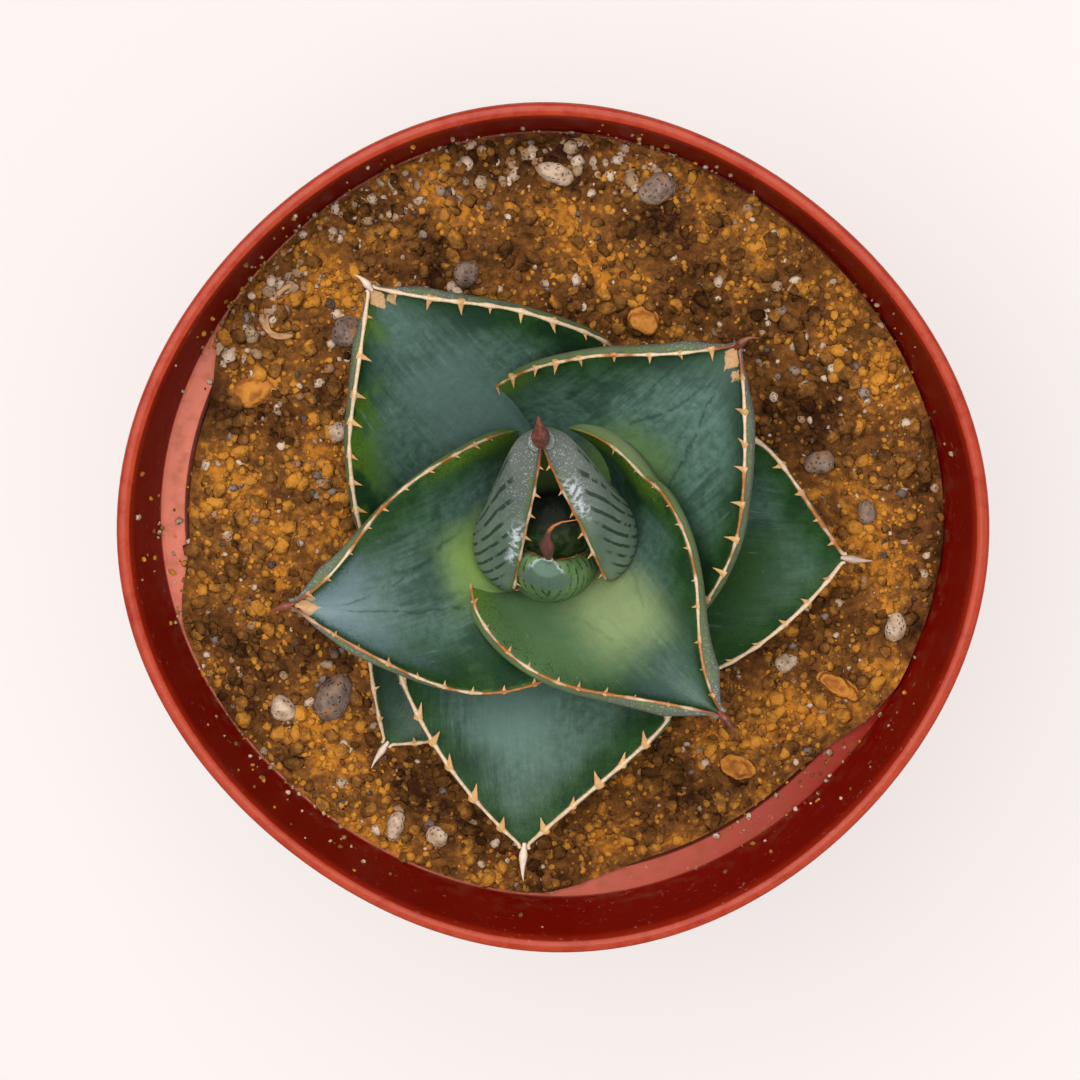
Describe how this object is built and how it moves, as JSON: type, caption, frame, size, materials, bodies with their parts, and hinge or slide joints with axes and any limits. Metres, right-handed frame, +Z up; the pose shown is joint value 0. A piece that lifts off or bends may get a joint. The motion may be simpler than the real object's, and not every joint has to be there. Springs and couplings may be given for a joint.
{
  "type": "potted agave",
  "caption": "Young agave rosette of thick cupped leaves with toothed margins and terminal spines, standing in gritty mix in a round tapered plastic nursery pot.",
  "frame": {"origin": "middle of the pot's foot ring, on the surface it stands on", "axes": "+Z up along the pot's axis; -Y is the side that the heart leaf opens to"},
  "size_m": [0.1072, 0.1054, 0.1208],
  "materials": {
    "pot_plastic": "satin",
    "potting_mix": "matte",
    "stem": "matte",
    "leaf": "satin",
    "horn": "satin",
    "pumice": "matte",
    "gravel": "matte",
    "bark": "matte",
    "root": "matte"
  },
  "bodies": {
    "root": {"pot": "pot_plastic", "potting_mix": "potting_mix", "stem": "stem", "leaf_bud": "leaf", "leaf_heart": "leaf", "leaf_southeast": "leaf", "leaf_west": "leaf", "leaf_northeast": "leaf", "leaf_south": "leaf", "leaf_northwest": "leaf", "leaf_east": "leaf", "leaf_southwest": "leaf", "pumice_1": "pumice", "pumice_2": "pumice", "pumice_3": "pumice", "pumice_4": "pumice", "pumice_5": "pumice", "pumice_6": "pumice", "pumice_7": "pumice", "gravel_1": "gravel", "gravel_2": "gravel", "gravel_3": "gravel", "gravel_4": "gravel", "gravel_5": "gravel", "gravel_6": "gravel", "bark_chip_1": "bark", "bark_chip_2": "bark", "bark_chip_3": "bark", "bark_chip_4": "bark", "root_fragment": "root"}
  },
  "joints": []
}
